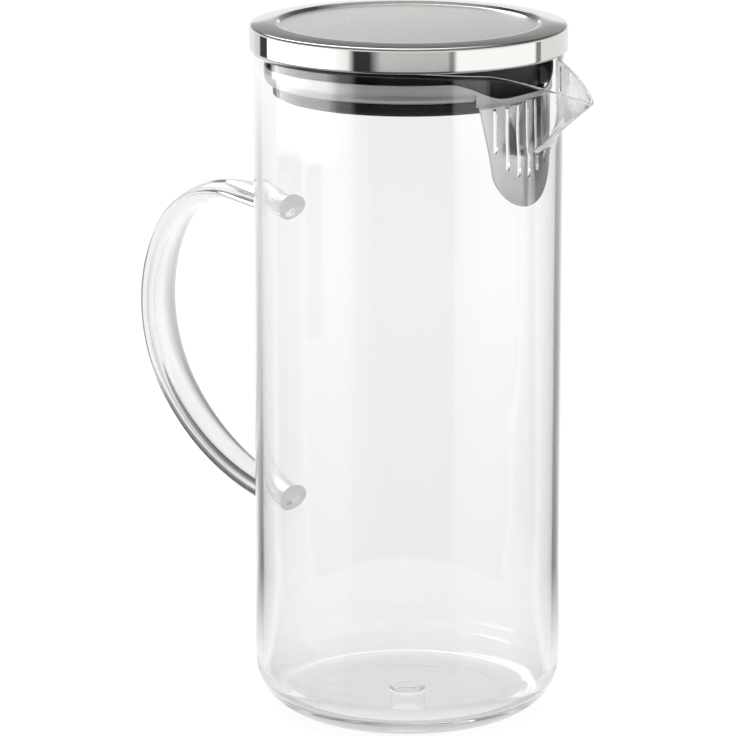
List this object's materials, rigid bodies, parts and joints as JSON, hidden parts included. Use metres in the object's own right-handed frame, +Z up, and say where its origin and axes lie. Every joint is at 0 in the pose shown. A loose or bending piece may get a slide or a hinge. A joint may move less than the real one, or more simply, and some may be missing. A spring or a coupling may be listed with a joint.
{
  "type": "glass pitcher with lid",
  "caption": "Tall cylindrical glass pitcher with a pinched pouring spout, a fused strap handle and a lift-out steel lid with a slotted strainer.",
  "frame": {"origin": "centre of the glass's flat underside", "axes": "+Z up along the vessel's axis, +X towards the spout, so the handle is on -X"},
  "size_m": [0.1863, 0.1076, 0.2395],
  "materials": {
    "clear_glass": "clear, fire-polished",
    "polished_steel": "mirror-polished stainless steel with a satin recess",
    "satin_steel": "satin stainless steel",
    "dark_plastic": "moulded, matt",
    "dark_rubber": "silicone, matt"
  },
  "bodies": {
    "jug": {"glass_vessel": "clear_glass", "glass_handle": "clear_glass"},
    "ring": {"retaining_ring": "dark_rubber"},
    "lid": {"lid_cap": "polished_steel", "lid_core": "dark_plastic", "pour_collar": "satin_steel", "strainer": "satin_steel"}
  },
  "joints": [
    {"name": "lid_lift", "type": "slide", "parent": "jug", "child": "ring", "axis": [0, 0, 1], "range_m": [0, 0.15]},
    {"name": "lid_turn", "type": "hinge", "parent": "ring", "child": "lid", "pos_m": [0, 0, 0.217], "axis": [0, 0, 1], "continuous": true}
  ]
}
